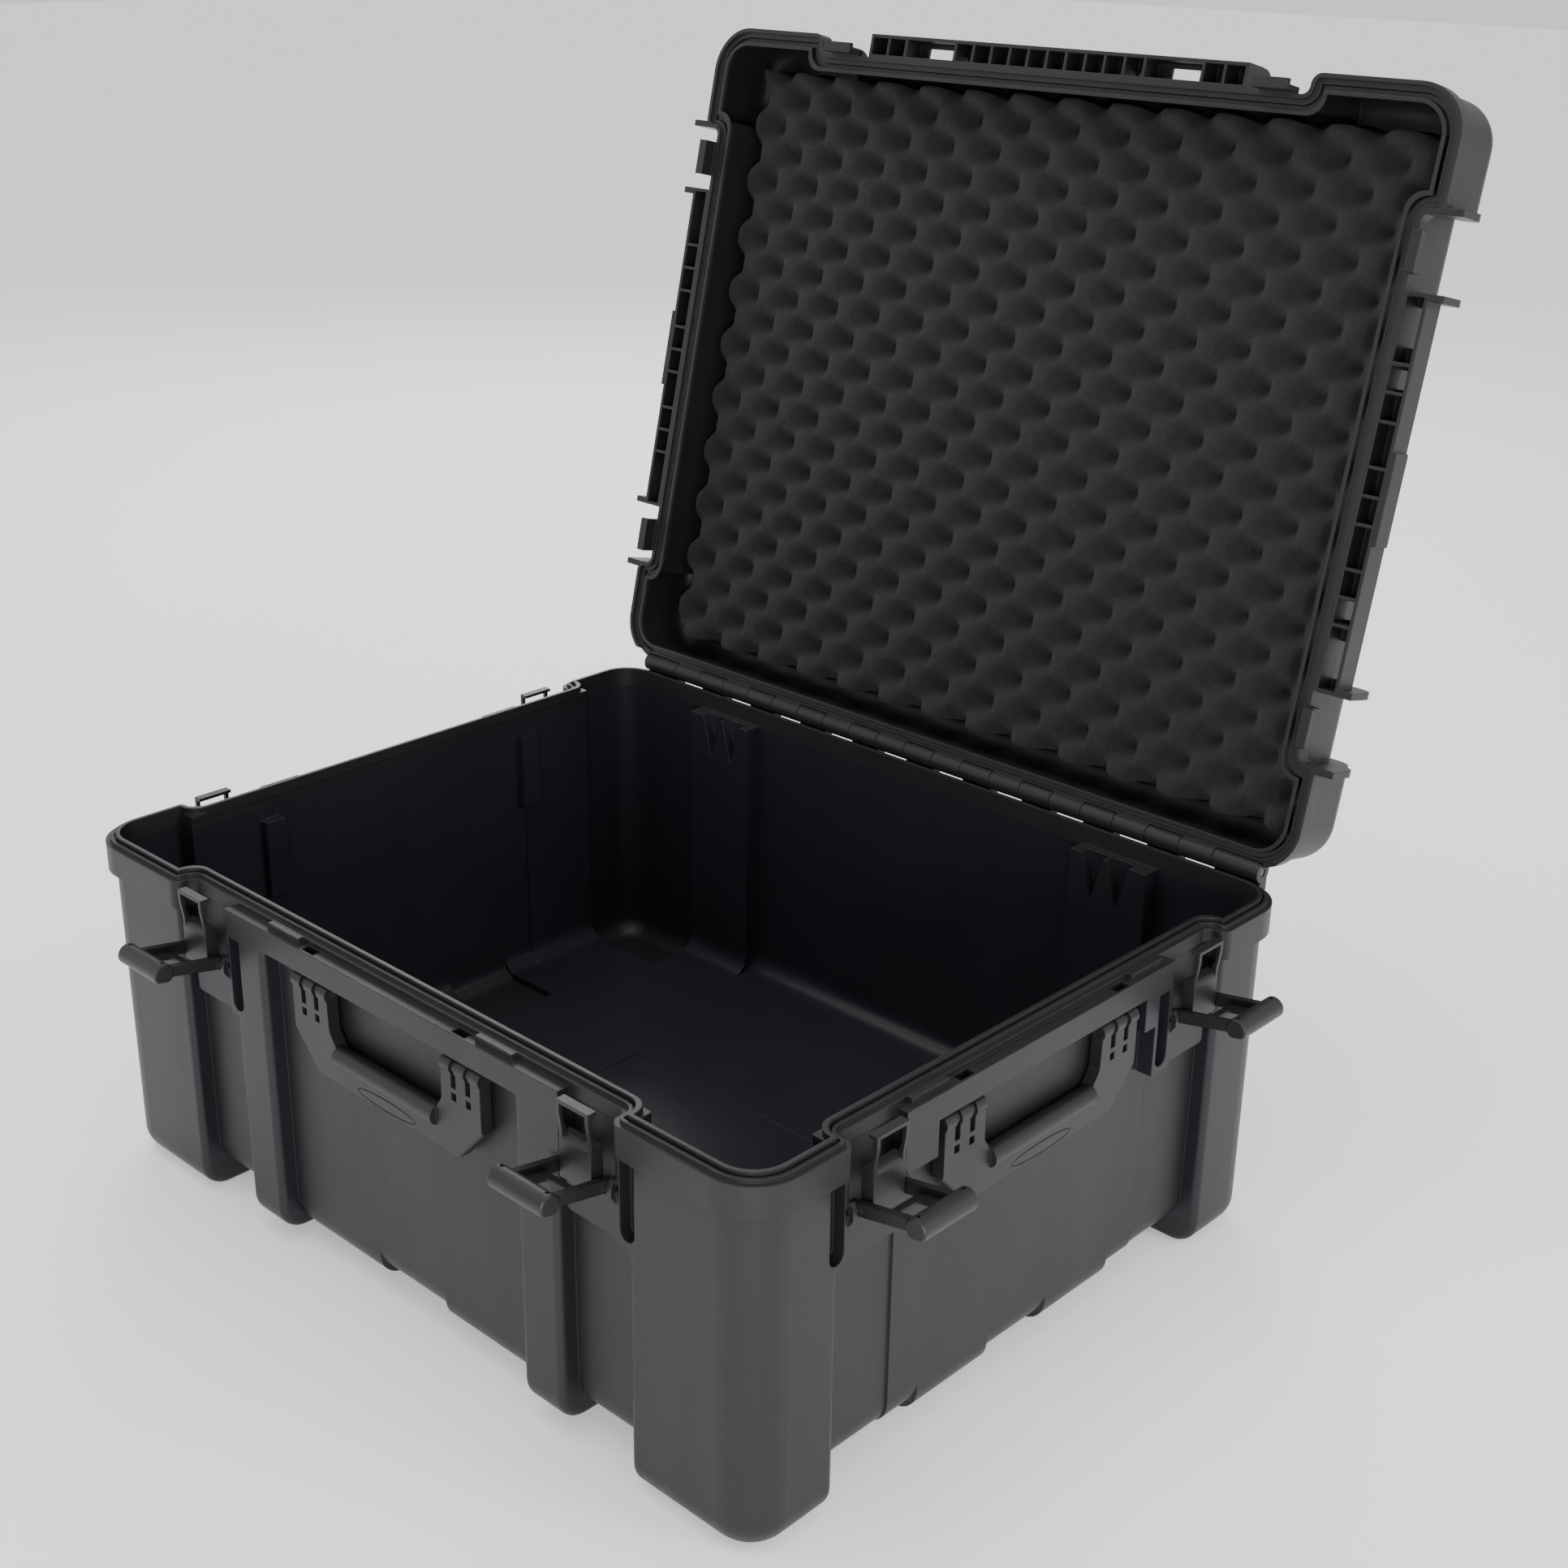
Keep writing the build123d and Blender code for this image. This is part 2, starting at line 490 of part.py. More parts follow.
def lid_closed():
    """The lid shell in its closed place."""
    rim_top = LID_BASE + 12
    shell = lid_skin(0) + rim_prism(0, LID_BASE, rim_top)
    shell = shell - lid_skin(WALL - 0.5) - rim_prism(RIM_WIDTH + 3.5, LID_BASE - 1, rim_top + 3)
    groove_top = BASE_HEIGHT + RIDGE_SEAL[2] + 0.4 + GASKET
    shell = shell - rim_band(RIDGE_SEAL[1] + 0.5, RIDGE_OUT[0] - 0.4, LID_BASE - 1,
                             BASE_HEIGHT + RIDGE_OUT[2] + 0.6)
    shell = shell - rim_band(RIDGE_SEAL[1] + 0.5, RIDGE_SEAL[0] - 0.5, LID_BASE - 1, groove_top)
    shell = shell - block(-WIDTH, WIDTH, DEPTH / 2 - RIDGE_SEAL[0] + 0.3, DEPTH, LID_BASE - 1,
                          BASE_HEIGHT + RIDGE_SEAL[2] + 0.6)
    for name, place, lobe_end, slot_sides in wall_places():
        shelf = lobe_end - BAY
        thick = 0 if name == "front" else STRIP_THICK
        reach = GUARD_REACH["front" if name == "front" else "side"]
        solids, cuts, ribs, holes = strip(shelf, rib_places(lobe_end), thick)
        for s in (-1, 1):
            solids.append(guard(*sorted((s * shelf, s * (shelf - GUARD[0]))), reach, NOTCH + 1))
            if name != "front":
                solids.append(guard(*sorted((s * lobe_end, s * (lobe_end + GUARD[0]))), reach, 4.5))
            solids.append(catch(s * (lobe_end - BAY / 2)))
        shell = shell + [place * piece for piece in solids]
        shell = shell - [place * piece for piece in cuts]
        shell = shell + [place * piece for piece in ribs]
        shell = shell - [place * piece for piece in holes]
    web = [(-6, -2), (3, -2), (3, 3), (-3, 15), (-6, 15)]
    for span in knuckle_spans()[::2]:
        room = Pos((span[0] + span[1]) / 2, HINGE_Y, HINGE_Z)
        shell = shell - room * rod((span[1] - span[0]) / 2 + 0.35, KNUCKLE_R + 0.4)
    for span in knuckle_spans()[1::2]:
        shell = shell + knuckle(span, web)
    island = extrude(RectangleRounded(WIDTH - 2 * ISLAND_IN[0], DEPTH - 2 * ISLAND_IN[1], 30), 6)
    island = chamfer(island.faces().sort_by(Axis.Z)[-1].edges(), 2.5)
    shell = shell + Pos(0, 0, LID_TOP - 2) * island
    return shell - hinge_bore()


def gasket_closed():
    z0 = BASE_HEIGHT + RIDGE_SEAL[2] + 0.4
    return rim_band(RIDGE_SEAL[1] + 0.2, RIDGE_SEAL[0] - 0.2, z0, z0 + GASKET)


def foam_closed():
    half, front, back = WIDTH / 2 - FOAM_IN[0], DEPTH / 2 - FOAM_IN[1], DEPTH / 2 - FOAM_IN[2]
    z1 = LID_TOP - WALL - 0.3
    slab = extrude(RectangleRounded(2 * half, front + back, 6), FOAM_THICK)
    slab = chamfer(slab.faces().sort_by(Axis.Z)[-1].edges(), 4)
    return Pos(0, (back - front) / 2, z1 - FOAM_THICK) * slab


def lever():
    """A latch lever level and pointing to -Y, its pivot at the origin."""
    half = ARM_HIGH / 2
    slim = half - 0.5
    outline = [(half, 1.3 - half), (half - 1.3, half), (-LINK - 5, half), (-LEVER_REACH, slim),
               (-LEVER_REACH, -slim), (-LINK - 5, -half), (half - 1.3, -half)]
    arms = [profile(outline, min(s * ARM[0], s * ARM[1]), max(s * ARM[0], s * ARM[1])) for s in (-1, 1)]
    bar = Pos(0, -LEVER_REACH, 0) * rod(GRIP[0], GRIP[1])
    bar = chamfer(bar.edges().filter_by(GeomType.CIRCLE), 1.0)
    under = -LEVER_REACH - 2 * GRIP[1]
    bar = bar - block(-GRIP[0] - 1, GRIP[0] + 1, under, 0, -2 * GRIP[1], -0.72 * GRIP[1])
    web = block(-ARM[0] - 1, ARM[0] + 1, -LEVER_REACH, -19, -slim, 2.8 - slim)
    window = block(-8.5, 8.5, -LEVER_REACH + 10, -25, -6, 1)
    whole = fused(arms + [bar, web]) - window
    for s in (-1, 1):
        whole = whole - Pos(s * (GRIP[0] - 4), -LEVER_REACH, 0) * Cylinder(1.5, 3 * GRIP[1])
    whole = whole - rod(30, PIN_R + PIN_FIT)
    return whole - link_place() * rod(30, PIN_R + PIN_FIT)


def link_place():
    """The link pin's place on the level lever."""
    lag = radians(LINK_LAG)
    return Pos(0, -LINK * cos(lag), -LINK * sin(lag))


def link_closed():
    """The link pin's place when closed: (y, z) in the wall's frame."""
    turn = radians(LEVER_UP - LINK_LAG - LEVER_TRAVEL)
    return PIVOT_IN - LINK * cos(turn), PIVOT_Z + LINK * sin(turn)


def hook():
    """A latch hook standing up from its link pin at the origin, lip towards +Y. When closed, its
    lip lies just over the lip of the lid's catch."""
    link_y, link_z = link_closed()
    top = LID_BASE - CATCH_HANG + CATCH_LIP[1] + CATCH_GAP - link_z
    tip = NOTCH - CATCH_CLEAR - CATCH_THICK - CATCH_GAP - link_y
    inner = tip - CATCH_LIP[0]
    down, up = HOOK_BODY
    body = block(-HOOK_HALF, HOOK_HALF, -HOOK_DEEP[0], HOOK_DEEP[1], -down, up)
    front = body.edges().filter_by(Axis.X).group_by(Axis.Y)[0]
    body = fillet(front.sort_by(Axis.Z)[-1:], 4.5)
    body = fillet(body.edges().filter_by(Axis.X).group_by(Axis.Z)[0], 2.5)
    outer = inner - HOOK_PLATE
    side = [(-HOOK_DEEP[0] + 0.2, up - 5), (1.5, up - 5), (1.5, up), (inner, up + 8),
            (inner, top + 1), (outer, top + 1), (outer, top - 6), (-HOOK_DEEP[0] + 0.2, up + 2)]
    cheeks = [profile(side, *sorted((s * HOOK_HALF, s * (HOOK_HALF - HOOK_CHEEK)))) for s in (-1, 1)]
    lip = block(-HOOK_HALF, HOOK_HALF, outer, tip, top, top + HOOK_LIP)
    return fused([body, lip] + cheeks) - rod(HOOK_HALF + 1, PIN_R + PIN_FIT)


def handle():
    """A handle hanging from its pin axis at the origin."""
    low = -HANDLE_DROP
    foot = HANDLE_HALF - 24
    grip_z = low + GRIP_UP
    outer = [(-HANDLE_HALF, 0), (-HANDLE_HALF, grip_z + 4), (-foot, low), (foot, low),
             (HANDLE_HALF, grip_z + 4), (HANDLE_HALF, 0)]
    inner = handle_window()
    window = [(-inner, 1), (-inner + 1, grip_z + 16), (12 - inner, grip_z), (inner - 12, grip_z),
              (inner - 1, grip_z + 16), (inner, 1)]
    plate_face = make_face(Polyline(*[(x, 0, z) for x, z in outer], close=True))
    hole_face = make_face(FilletPolyline(*[(x, 0, z) for x, z in window],
                                         radius=[0, 6, 8, 8, 6, 0], close=True))
    plate = extrude(plate_face, HANDLE_THICK / 2, both=True, dir=(0, 1, 0))
    rim = plate.edges().group_by(Axis.Y)[0].filter_by(Axis.Z, reverse=True)
    plate = fillet(rim.group_by(Axis.Z)[0] + rim.group_by(Axis.Z)[1], 2.5)
    plate = plate - extrude(hole_face, HANDLE_THICK, both=True, dir=(0, 1, 0))
    whole = plate + Pos(0, -GRIP_OUT, grip_z) * rod(inner - 8, GRIP_R)
    oval = Ellipse(OVAL[0], OVAL[1]) - Ellipse(OVAL[0] - OVAL[2], OVAL[1] - OVAL[2])
    line = Rot(90, 0, 0) * extrude(oval, OVAL[2], both=True)
    whole = whole - Pos(0, -HANDLE_THICK / 2, low + OVAL[1] + 2) * line
    for s in (-1, 1):
        for a, b in prong_spans():
            whole = whole + Pos(s * (a + b) / 2, 0, 0) * rod((b - a) / 2, PRONG_R)
        for a, b in lug_spans():
            low_x, high_x = sorted((s * (a - LUG_GAP), s * (b + LUG_GAP)))
            whole = whole - block(low_x, high_x, -9, 9, -PRONG_R - 8, 9)
            whole = whole - block(low_x, high_x, -9, 9, -PRONG_R - 17, -PRONG_R - 11.5)
    return whole - rod(HANDLE_HALF + 1, PIN_R + PIN_FIT)


def save(piece, name):
    export_step(piece, "parts/" + name + ".step")


def main():
    os.makedirs("parts", exist_ok=True)
    save(base_shell(), "base_shell")
    save(LID_SWING * lid_closed(), "lid_shell")
    save(LID_SWING * gasket_closed(), "lid_gasket")
    save(LID_SWING * foam_closed(), "lid_foam")
    save(Pos(0, HINGE_Y, HINGE_Z) * rod(HINGE_HALF - 1, HINGE_PIN_R), "hinge_pin")
    grip = handle()
    arm = lever()
    claw = hook()
    for name, place, lobe_end, slot_sides in wall_places():
        seat = place * Pos(0, HANDLE_IN, HANDLE_TOP_Z)
        save(seat * grip, "handle_" + name)
        middle, half = (handle_window() + HANDLE_HALF) / 2, (HANDLE_HALF - handle_window()) / 2
        pins = [seat * Pos(s * middle, 0, 0) * rod(half, PIN_R) for s in (-1, 1)]
        save(Compound(children=pins), "handle_" + name + "_pins")
        for side, s in (("a", -1), ("b", 1)):
            label = "latch_" + name + "_" + side
            pivot = place * Pos(s * (lobe_end - BAY / 2), PIVOT_IN, PIVOT_Z)
            raised = pivot * Rot(-LEVER_UP, 0, 0)
            link = raised * link_place() * Rot(LEVER_UP, 0, 0)
            save(raised * arm, label + "_lever")
            save(link * claw, label + "_hook")
            save(link * rod(ARM[1], PIN_R), label + "_link_pin")
            half = (RIB[1] - ARM[0]) / 2
            stubs = [pivot * Pos(e * (ARM[0] + half), 0, 0) * rod(half, PIN_R) for e in (-1, 1)]
            save(Compound(children=stubs), label + "_pivot_pins")


main()
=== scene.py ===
import json
import math

import bmesh
import bpy
from mathutils import Matrix, Vector, noise


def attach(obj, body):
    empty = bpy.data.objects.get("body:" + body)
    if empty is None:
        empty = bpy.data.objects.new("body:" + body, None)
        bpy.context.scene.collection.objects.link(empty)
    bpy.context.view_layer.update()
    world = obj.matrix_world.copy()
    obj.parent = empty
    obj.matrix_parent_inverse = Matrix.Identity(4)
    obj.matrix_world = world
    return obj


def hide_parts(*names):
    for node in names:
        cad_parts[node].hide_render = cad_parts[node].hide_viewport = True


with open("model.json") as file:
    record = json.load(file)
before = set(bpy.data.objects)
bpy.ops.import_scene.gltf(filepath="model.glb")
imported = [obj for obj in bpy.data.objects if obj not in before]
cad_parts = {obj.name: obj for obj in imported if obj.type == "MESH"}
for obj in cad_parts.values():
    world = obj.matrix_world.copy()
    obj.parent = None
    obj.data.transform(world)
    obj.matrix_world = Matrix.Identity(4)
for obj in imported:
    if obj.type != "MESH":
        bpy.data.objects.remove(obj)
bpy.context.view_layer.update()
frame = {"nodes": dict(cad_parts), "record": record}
NODES = frame["nodes"]

# The lid's hinge line and how far the lid stands open at rest.
HINGE = next(j for j in frame["record"]["behaviour"]["joints"] if j["name"] == "lid_hinge")
HINGE_AT = Vector(HINGE["pos_m"])
LID_OPEN = math.radians(HINGE["range_deg"][1])
# From the closed lid's place to its place at rest.
LID_SWING = (Matrix.Translation(HINGE_AT) @ Matrix.Rotation(-LID_OPEN, 4, "X")
             @ Matrix.Translation(-HINGE_AT))


# Half the width and depth of the space inside the base, and its lowest and highest level.
CAVITY_HALF = (0.3215, 0.2475)
CAVITY_LEVELS = (0.0205, 0.25)


# ---- node materials ----

class Tree:
    """A short way to write a material's nodes."""

    def __init__(self, name):
        self.material = bpy.data.materials.new(name)
        self.material.use_nodes = True
        self.nodes = self.material.node_tree.nodes
        self.links = self.material.node_tree.links
        self.shader = self.nodes["Principled BSDF"]
        self.object = self.new("ShaderNodeTexCoord").outputs["Object"]

    def new(self, kind, **settings):
        node = self.nodes.new(kind)
        for key, value in settings.items():
            setattr(node, key, value)
        return node

    def put(self, socket, value):
        if isinstance(value, bpy.types.NodeSocket):
            self.links.new(value, socket)
        else:
            socket.default_value = value

    def math(self, operation, a, b=0.0, clamp=False):
        node = self.new("ShaderNodeMath", operation=operation, use_clamp=clamp)
        self.put(node.inputs[0], a)
        self.put(node.inputs[1], b)
        return node.outputs[0]

    def ramp(self, value, low, high, to_low=0.0, to_high=1.0):
        node = self.new("ShaderNodeMapRange", interpolation_type="SMOOTHSTEP")
        self.put(node.inputs["Value"], value)
        for socket, number in zip(("From Min", "From Max", "To Min", "To Max"),
                                  (low, high, to_low, to_high)):
            self.put(node.inputs[socket], number)
        return node.outputs["Result"]

    def stretched(self, scale):
        node = self.new("ShaderNodeVectorMath", operation="MULTIPLY")
        self.put(node.inputs[0], self.object)
        node.inputs[1].default_value = scale
        return node.outputs[0]

    def noise(self, scale, detail=2.0, roughness=0.5, vector=None):
        node = self.new("ShaderNodeTexNoise")
        self.put(node.inputs["Vector"], vector or self.object)
        node.inputs["Scale"].default_value = scale
        node.inputs["Detail"].default_value = detail
        node.inputs["Roughness"].default_value = roughness
        return node.outputs["Fac"]

    def cells(self, scale, feature="F1", output="Distance", vector=None):
        node = self.new("ShaderNodeTexVoronoi", feature=feature)
        self.put(node.inputs["Vector"], vector or self.object)
        node.inputs["Scale"].default_value = scale
        return node.outputs[output]

    def mix(self, factor, a, b):
        """A colour mix."""
        node = self.new("ShaderNodeMix", data_type="RGBA")
        self.put(node.inputs["Factor"], factor)
        self.put(node.inputs[6], a)
        self.put(node.inputs[7], b)
        return node.outputs[2]

    def bump(self, height, strength, distance, normal=None):
        node = self.new("ShaderNodeBump")
        node.inputs["Strength"].default_value = strength
        node.inputs["Distance"].default_value = distance
        self.put(node.inputs["Height"], height)
        if normal:
            self.put(node.inputs["Normal"], normal)
        return node.outputs["Normal"]

    def soft_edge(self, radius):
        """A small rounding of sharp edges, in the normal."""
        node = self.new("ShaderNodeBevel", samples=4)
        node.inputs["Radius"].default_value = radius
        return node.outputs["Normal"]

    def facing_in(self):
        """1 on the floor of the base and on walls that face the middle of the case."""
        geometry = self.new("ShaderNodeNewGeometry")
        flat = self.new("ShaderNodeVectorMath", operation="MULTIPLY")
        self.put(flat.inputs[0], self.object)
        flat.inputs[1].default_value = (1.0, 1.0, 0.0)
        towards = self.new("ShaderNodeVectorMath", operation="DOT_PRODUCT")
        self.put(towards.inputs[0], flat.outputs[0])
        self.put(towards.inputs[1], geometry.outputs["Normal"])
        split = self.new("ShaderNodeSeparateXYZ")
        self.put(split.inputs[0], self.object)
        wide = self.math("LESS_THAN", self.math("ABSOLUTE", split.outputs[0]), CAVITY_HALF[0])
        deep = self.math("LESS_THAN", self.math("ABSOLUTE", split.outputs[1]), CAVITY_HALF[1])
        core = self.math("MULTIPLY", wide, deep)
        wall = self.math("LESS_THAN", towards.outputs["Value"], -0.004)
        below = self.math("LESS_THAN", split.outputs[2], CAVITY_LEVELS[1])
        high = self.math("GREATER_THAN", split.outputs[2], CAVITY_LEVELS[0])
        either = self.math("MAXIMUM", core, wall)
        return self.math("MULTIPLY", self.math("MULTIPLY", either, below), high)

    def done(self, color, roughness, normal, **sockets):
        self.put(self.shader.inputs["Base Color"], color)
        self.put(self.shader.inputs["Roughness"], roughness)
        self.put(self.shader.inputs["Normal"], normal)
        for key, value in sockets.items():
            self.shader.inputs[key.replace("_", " ")].default_value = value
        return self.material


def moulded_plastic(name, dark, light, rough, grain, edge, inner=False):
    """Spark-eroded black plastic: fine grain, cloudy sheen, faint rubs and dust."""
    tree = Tree(name)
    cloud = tree.noise(9.0, 3.0, 0.55)
    streak = tree.noise(22.0, 3.0, 0.6, tree.stretched((1.0, 1.0, 0.12)))
    fine = tree.noise(grain, 2.0, 0.6)
    pebble = tree.cells(grain * 0.55, "SMOOTH_F1")
    rub = tree.ramp(tree.noise(260.0, 4.0, 0.7, tree.stretched((1.0, 0.35, 0.16))), 0.66, 0.8)
    dust = tree.ramp(tree.cells(330.0), 0.06, 0.02)
    tint = tree.mix(tree.math("MULTIPLY", cloud, fine), dark, light)
    worn = tree.math("MULTIPLY", rub, tree.ramp(cloud, 0.5, 0.66))
    tint = tree.mix(tree.math("MULTIPLY", worn, 0.35), tint, (0.075, 0.075, 0.077, 1.0))
    sparse = tree.math("MULTIPLY", dust, tree.ramp(tree.noise(37.0, 1.0), 0.6, 0.68))
    tint = tree.mix(tree.math("MULTIPLY", sparse, 0.4), tint, (0.16, 0.16, 0.165, 1.0))
    shine = tree.math("ADD", rough, tree.math("MULTIPLY", tree.math("SUBTRACT", streak, 0.5), 0.16))
    shine = tree.math("ADD", shine, tree.math("MULTIPLY", tree.math("SUBTRACT", fine, 0.5), 0.22))
    relief = tree.math("ADD", fine, tree.math("MULTIPLY", pebble, 0.7))
    if inner:
        mask = tree.facing_in()
        # Inside the base the colour is a lighter, purplish copy of the plastic: partly the inside's own
        # tone, partly painted light that lifts the shaded inside.
        inner_tint_and_painted_light = tree.mix(cloud, (0.011, 0.0095, 0.0125, 1.0), (0.017, 0.0145, 0.0205, 1.0))
        tint = tree.mix(mask, tint, inner_tint_and_painted_light)
        polished = tree.math("ADD", 0.24, tree.math("MULTIPLY", streak, 0.16))
        blend = tree.new("ShaderNodeMix")
        tree.put(blend.inputs["Factor"], mask)
        tree.put(blend.inputs[2], shine)
        tree.put(blend.inputs[3], polished)
        shine = blend.outputs[0]
        kept = tree.math("SUBTRACT", 1.0, tree.math("MULTIPLY", mask, 0.55))
        relief = tree.math("MULTIPLY", relief, kept)
    normal = tree.bump(relief, 0.32, 0.00028, tree.soft_edge(edge))
    return tree.done(tint, shine, normal, Specular_IOR_Level=0.33, IOR=1.5)


def soft_rubber(name):
    tree = Tree(name)
    fine = tree.noise(1400.0, 2.0)
    tint = tree.mix(tree.noise(60.0, 2.0), (0.004, 0.004, 0.004, 1.0), (0.011, 0.011, 0.0115, 1.0))
    shine = tree.ramp(fine, 0.3, 0.7, 0.5, 0.68)
    return tree.done(tint, shine, tree.bump(fine, 0.25, 0.0002))


def dark_steel(name):
    tree = Tree(name)
    turned = tree.noise(500.0, 3.0, 0.6, tree.stretched((0.05, 1.0, 1.0)))
    tint = tree.mix(turned, (0.07, 0.07, 0.073, 1.0), (0.17, 0.17, 0.175, 1.0))
    shine = tree.ramp(turned, 0.3, 0.7, 0.3, 0.48)
    return tree.done(tint, shine, tree.bump(turned, 0.15, 0.0001), Metallic=1.0)


def open_cell_foam(name):
    """Charcoal open-cell foam: a fine strut net over pores darkened with painted shade, with bright
    flecks.
    """
    tree = Tree(name)
    pores = tree.cells(760.0, "DISTANCE_TO_EDGE")
    strut_height_and_pore_shade = tree.ramp(pores, 0.0, 0.16, 1.0, 0.0)
    small = tree.cells(1500.0)
    fuzz = tree.noise(1100.0, 3.0, 0.7)
    cloud = tree.noise(26.0, 3.0, 0.6)
    # Painted shade: the pores get a darker colour than the strut net between them.
    tint = tree.mix(strut_height_and_pore_shade, (0.0055, 0.0055, 0.006, 1.0), (0.019, 0.019, 0.0205, 1.0))
    tint = tree.mix(tree.ramp(cloud, 0.3, 0.7, 0.0, 0.35), tint, (0.012, 0.012, 0.013, 1.0))
    fleck = tree.math("MULTIPLY", tree.ramp(small, 0.16, 0.06), tree.ramp(fuzz, 0.52, 0.66))
    tint = tree.mix(tree.math("MULTIPLY", fleck, 0.9), tint, (0.34, 0.34, 0.35, 1.0))
    height = tree.math("ADD", strut_height_and_pore_shade, tree.math("MULTIPLY", fuzz, 0.8))
    normal = tree.bump(height, 0.75, 0.0006)
    return tree.done(tint, tree.ramp(fuzz, 0.3, 0.7, 0.82, 0.97), normal,
                     Sheen_Weight=0.08, Sheen_Roughness=0.6, Specular_IOR_Level=0.2)


# Two shades, roughness, grain and edge rounding of the shells.
CASE = ((0.0075, 0.0075, 0.008, 1.0), (0.021, 0.021, 0.022, 1.0), 0.46, 1500.0, 0.0012)
SHELL = moulded_plastic("shell_plastic", *CASE, inner=True)
LID = moulded_plastic("lid_plastic", *CASE)
FITTINGS = moulded_plastic("fitting_plastic", (0.008, 0.008, 0.0085, 1.0), (0.024, 0.024, 0.025, 1.0),
                           0.42, 1900.0, 0.0008)
RUBBER = soft_rubber("gasket_rubber")
STEEL = dark_steel("pin_steel")
FOAM = open_cell_foam("charcoal_foam")


def material_for(node):
    if node == "base_shell":
        return SHELL
    if node == "lid_shell":
        return LID
    if node == "lid_gasket":
        return RUBBER
    if "pin" in node:
        return STEEL
    return FITTINGS


for node_name, node_object in NODES.items():
    if node_name == "lid_foam":
        continue
    finish = material_for(node_name)
    if not node_object.material_slots:
        node_object.data.materials.append(finish)
    for each_slot in node_object.material_slots:
        each_slot.material = finish


# ---- the foam liner ----

# The slab's box with the lid closed: half width, front, back, underside, top; and its lattice.
FOAM_BOX = (0.316, -0.2425, 0.2475, 0.2892, 0.3222)
PITCH_X, PITCH_Y = 0.0464, 0.0466
FIRST_PIT = (-0.2727, -0.2215)
STEP = 0.0026
FACE_IN = 0.0008       # how far the peaks stay inside the slab's underside
PIT_DEEP = 0.0205
PIT_POWER = 1.9        # above 1 the peaks are broader than the pits
EDGE_ROUND = (0.004, 0.0022)   # width and depth of the rounding round the face
BACK_IN = 0.0004       # how far the glued side stays inside the slab's top
BACK_TUCK = 0.0034     # how far the glued side pulls in at its edge
SIDE_RINGS = 7
NEAR_SIDE = 0.006      # a rim vertex this close to a side is on that side
DRIFT = 0.0016         # how far the lattice strays from its even pitch


def crate(x, y):
    """How far the foam's face is cut back at a place, from 0 on a peak to 1 in a pit."""
    wave = (math.cos(2 * math.pi * (x - FIRST_PIT[0]) / PITCH_X)
            * math.cos(2 * math.pi * (y - FIRST_PIT[1]) / PITCH_Y))
    level = 0.5 + 0.5 * wave
    return level ** PIT_POWER


def foam_liner():
    """The liner with the lid closed, its egg-crate face down, then swung open with the lid."""
    half, front, back, low, high = FOAM_BOX
    columns = round(2 * half / STEP)
    rows = round((back - front) / STEP)
    mesh = bmesh.new()
    face = []
    for j in range(rows + 1):
        line = []
        for i in range(columns + 1):
            x = -half + 2 * half * i / columns
            y = front + (back - front) * j / rows
            drift_x, drift_y = (noise.noise(Vector((x * 9, y * 9, level))) * DRIFT for level in (0.3, 5.3))
            cut = crate(x + drift_x, y + drift_y)
            edge = min(half - abs(x), y - front, back - y)
            round_over = max(0.0, 1.0 - edge / EDGE_ROUND[0]) ** 2 * EDGE_ROUND[1]
            swell = noise.noise(Vector((x * 14, y * 14, 7.7))) * 0.0007
            z = low + FACE_IN + PIT_DEEP * cut + round_over + swell
            # The cut sides wander a little and pinch in at the hollows.
            pull = 0.0028 * cut + 0.0009 * noise.noise(Vector((x * 60, y * 60, 2.1)))
            on_side = abs(x) > half - 1e-6
            px = x - math.copysign(pull, x) if on_side else x
            py = y + pull if j == 0 else y - pull if j == rows else y
            line.append(mesh.verts.new((px, py, z)))
        face.append(line)
    for j in range(rows):
        for i in range(columns):
            mesh.faces.new((face[j][i], face[j + 1][i], face[j + 1][i + 1], face[j][i + 1]))
    rim = ([face[0][i] for i in range(columns)] + [face[j][columns] for j in range(rows)]
           + [face[rows][i] for i in range(columns, 0, -1)] + [face[j][0] for j in range(rows, 0, -1)])
    rings = [rim]
    for k in range(1, SIDE_RINGS + 1):
        share = k / SIDE_RINGS
        ring = []
        for v in rim:
            wander = 0.0012 * noise.noise(Vector((v.co.x * 45, v.co.y * 45, k * 0.9)))
            tuck = BACK_TUCK if k == SIDE_RINGS else 0.0
            shift = wander - tuck
            x, y = v.co.x, v.co.y
            on_x = abs(x) > half - NEAR_SIDE
            on_y = y < front + NEAR_SIDE or y > back - NEAR_SIDE
            if on_x:
                x += math.copysign(min(shift, 0.0), x)
            if on_y:
                y += math.copysign(min(shift, 0.0), y)
            ring.append(mesh.verts.new((x, y, v.co.z + (high - BACK_IN - v.co.z) * share)))
        rings.append(ring)
    count = len(rim)
    for upper, lower in zip(rings[:-1], rings[1:]):
        for i in range(count):
            n = (i + 1) % count
            mesh.faces.new((upper[i], upper[n], lower[n], lower[i]))
    mesh.faces.new(rings[-1])
    bmesh.ops.recalc_face_normals(mesh, faces=mesh.faces)
    mesh.transform(LID_SWING)
    data = bpy.data.meshes.new("foam_liner")
    mesh.to_mesh(data)
    mesh.free()
    data.shade_smooth()
    liner = bpy.data.objects.new("foam_liner", data)
    bpy.context.scene.collection.objects.link(liner)
    data.materials.append(FOAM)
    return liner


liner = foam_liner()
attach(liner, "lid")
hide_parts("lid_foam")


# ---- stage, light and camera ----

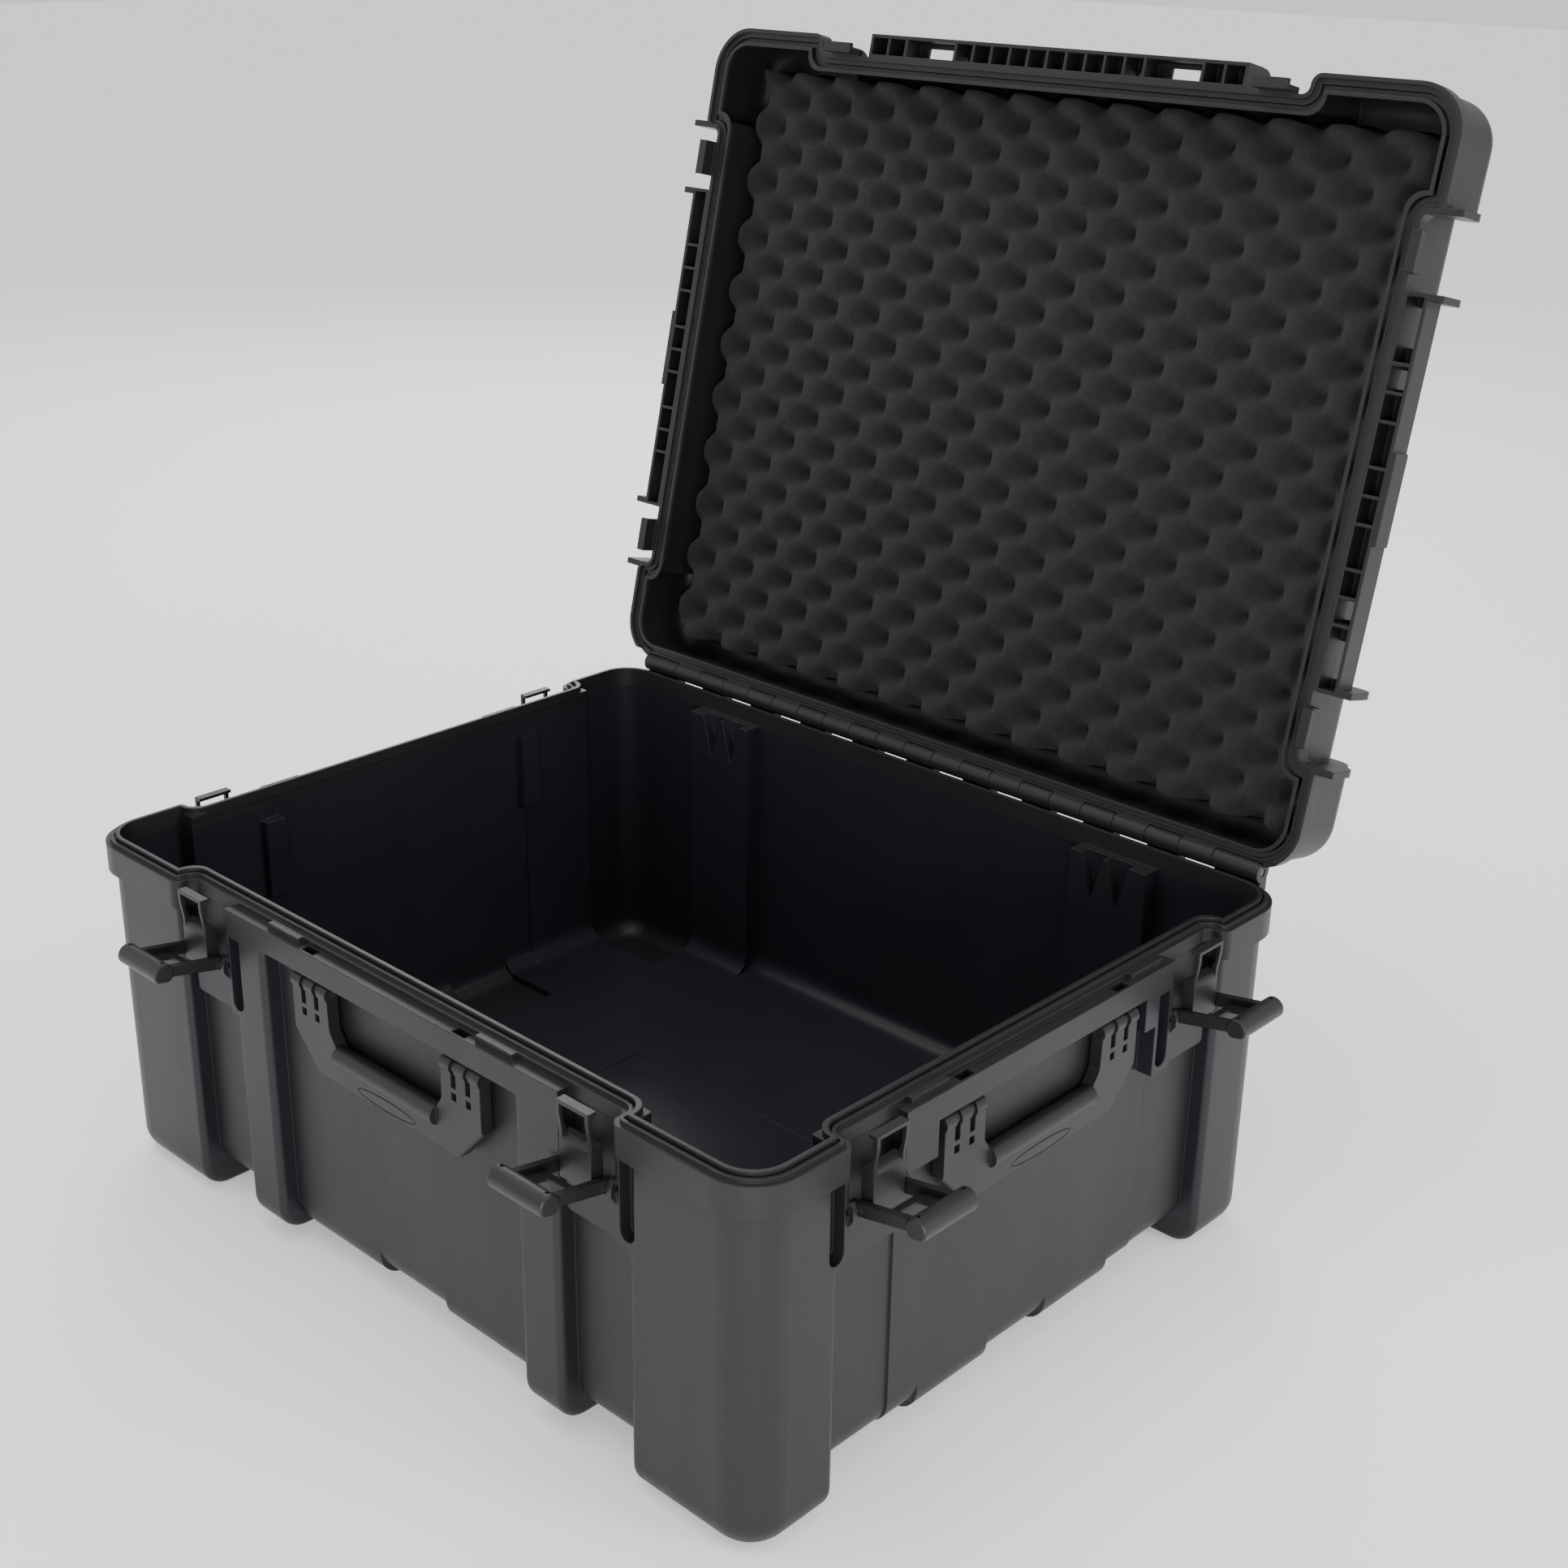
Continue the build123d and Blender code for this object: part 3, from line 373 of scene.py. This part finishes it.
def stage_floor():
    """A wide sheet of pale paper, which gives off a little light of its own."""
    size = 14.0
    data = bpy.data.meshes.new("floor")
    data.from_pydata([(-size, -size, 0), (size, -size, 0), (size, size, 0), (-size, size, 0)],
                     [], [(0, 1, 2, 3)])
    floor = bpy.data.objects.new("floor", data)
    bpy.context.scene.collection.objects.link(floor)
    tree = Tree("floor_paper")
    tint = tree.mix(tree.noise(3.0, 2.0), (0.84, 0.84, 0.845, 1.0), (0.86, 0.86, 0.86, 1.0))
    tree.put(tree.shader.inputs["Emission Color"], tint)
    data.materials.append(tree.done(tint, 0.75, tree.bump(tree.noise(120.0), 0.03, 0.0005),
                                    Emission_Strength=0.38))


def area_light(name, at, towards, size, power):
    """A soft light panel; its power is in watts."""
    data = bpy.data.lights.new(name, "AREA")
    data.shape = "RECTANGLE"
    data.size, data.size_y = size
    data.energy = power
    light = bpy.data.objects.new(name, data)
    bpy.context.scene.collection.objects.link(light)
    light.location = at
    light.rotation_euler = (Vector(towards) - Vector(at)).to_track_quat("-Z", "Y").to_euler()


stage_floor()
area_light("key", (-0.3, -0.4, 3.2), (0.0, 0.0, 0.2), (2.4, 2.0), 46.0)
area_light("left", (-2.6, -1.8, 1.6), (0.0, 0.0, 0.2), (0.9, 2.2), 7.0)
area_light("right", (2.7, 0.7, 1.5), (0.0, 0.0, 0.2), (0.8, 2.0), 36.0)
area_light("front", (1.75, -1.75, 0.5), (0.33, -0.26, 0.12), (0.3, 0.8), 34.0)
area_light("back", (-2.2, 2.0, 1.75), (0.0, -0.1, 0.25), (1.6, 1.0), 40.0)

world = bpy.data.worlds.new("studio")
bpy.context.scene.world = world
world.use_nodes = True
world.node_tree.nodes["Background"].inputs["Color"].default_value = (0.95, 0.97, 1.0, 1.0)
world.node_tree.nodes["Background"].inputs["Strength"].default_value = 0.95

camera_data = bpy.data.cameras.new("camera")
camera_data.lens = 50.454
camera_data.sensor_width = 36.0
camera = bpy.data.objects.new("camera", camera_data)
bpy.context.scene.collection.objects.link(camera)
camera.location = (1.044, -0.9964, 0.9245)
camera.rotation_euler = (1.1770016, -0.0130172, 0.7606036)
bpy.context.scene.camera = camera
